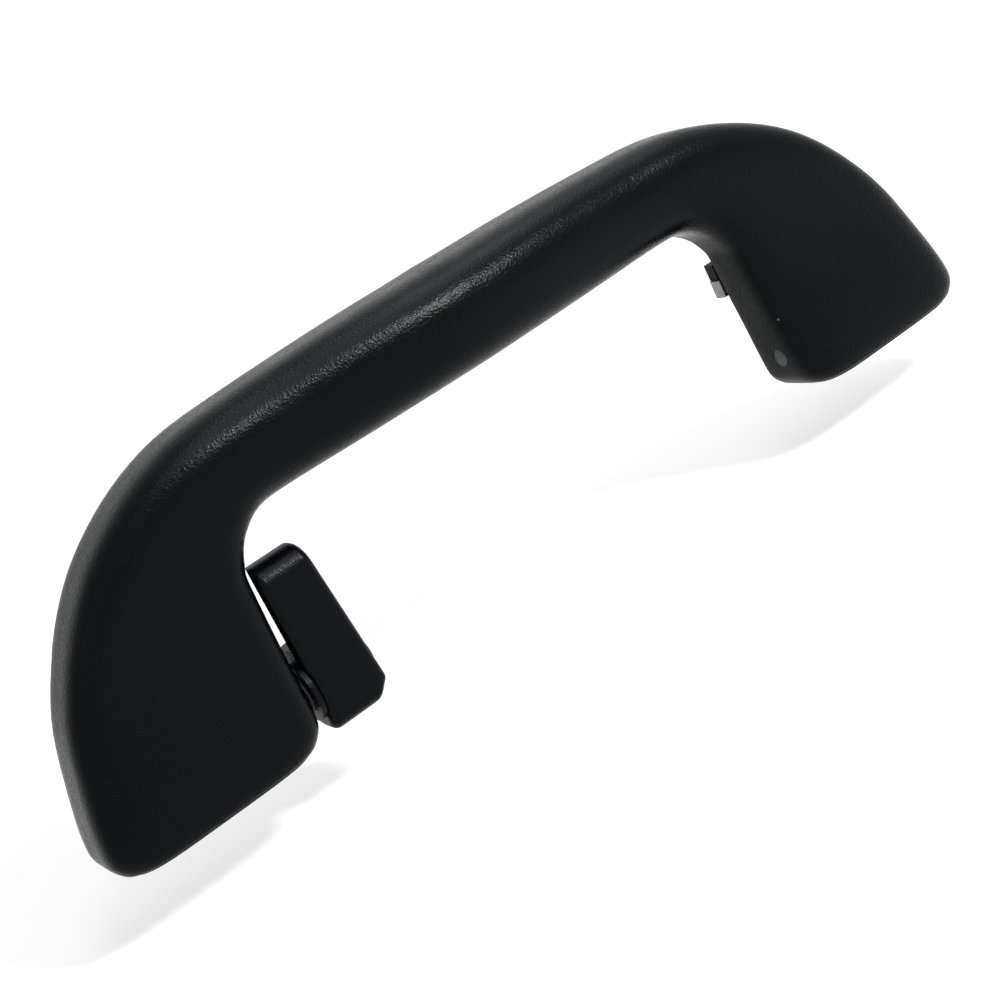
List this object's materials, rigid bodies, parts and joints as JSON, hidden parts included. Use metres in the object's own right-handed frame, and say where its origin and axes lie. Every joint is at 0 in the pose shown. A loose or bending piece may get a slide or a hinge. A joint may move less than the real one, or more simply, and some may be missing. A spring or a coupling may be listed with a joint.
{
  "type": "roof grab handle",
  "caption": "Folding roof grab handle for a vehicle: curved grip on sprung, damped hinges over screw-on brackets, with a fold-out coat hook beside its left leg.",
  "frame": {"origin": "on the mounting plane at the back of the brackets, halfway between the two screw holes", "axes": "+X along the handle to its right-hand end seen from the cabin, +Y into the roof, +Z from the hinges towards the bar with the handle folded"},
  "size_m": [0.203, 0.0244, 0.0596],
  "materials": {
    "grip_plastic": "moulded, fine leather-like grain",
    "hook_plastic": "moulded, fine grain",
    "bracket_plastic": "moulded, plain",
    "cover_plastic": "moulded, plain",
    "pin_steel": "turned, dull",
    "spring_steel": "drawn wire, oiled",
    "sleeve_steel": "zinc plated",
    "clip_steel": "pressed spring steel",
    "washer_steel": "pressed, bright",
    "buffer_rubber": "moulded",
    "damper_plastic": "moulded, natural colour",
    "rotor_plastic": "moulded, natural colour",
    "seal_rubber": "moulded"
  },
  "bodies": {
    "roof_mounts": {"damper_cap": "damper_plastic", "damper_housing": "damper_plastic", "damper_seal": "seal_rubber", "hook_friction_washer": "washer_steel", "left_bracket": "bracket_plastic", "left_hinge_pin": "pin_steel", "left_retaining_clip": "clip_steel", "left_return_spring": "spring_steel", "left_screw_cover": "cover_plastic", "left_screw_sleeve": "sleeve_steel", "left_stop_buffer": "buffer_rubber", "right_bracket": "bracket_plastic", "right_hinge_pin": "pin_steel", "right_retaining_clip": "clip_steel", "right_return_spring": "spring_steel", "right_screw_cover": "cover_plastic", "right_screw_sleeve": "sleeve_steel", "right_stop_buffer": "buffer_rubber"},
    "grip": {"damper_rotor": "rotor_plastic", "grip_bow": "grip_plastic"},
    "coat_hook": {"coat_hook": "hook_plastic"}
  },
  "joints": [
    {"name": "grip_hinge", "type": "hinge", "parent": "roof_mounts", "child": "grip", "pos_m": [0, -0.0148, -0.02], "axis": [1, 0, 0], "range_deg": [0, 95], "stiffness_Nm_per_rad": 0.08, "springref_deg": -40.11, "deforming": ["right_return_spring", "left_return_spring"]},
    {"name": "hook_hinge", "type": "hinge", "parent": "roof_mounts", "child": "coat_hook", "pos_m": [0, -0.0148, -0.02], "axis": [1, 0, 0], "range_deg": [0, 90]}
  ]
}
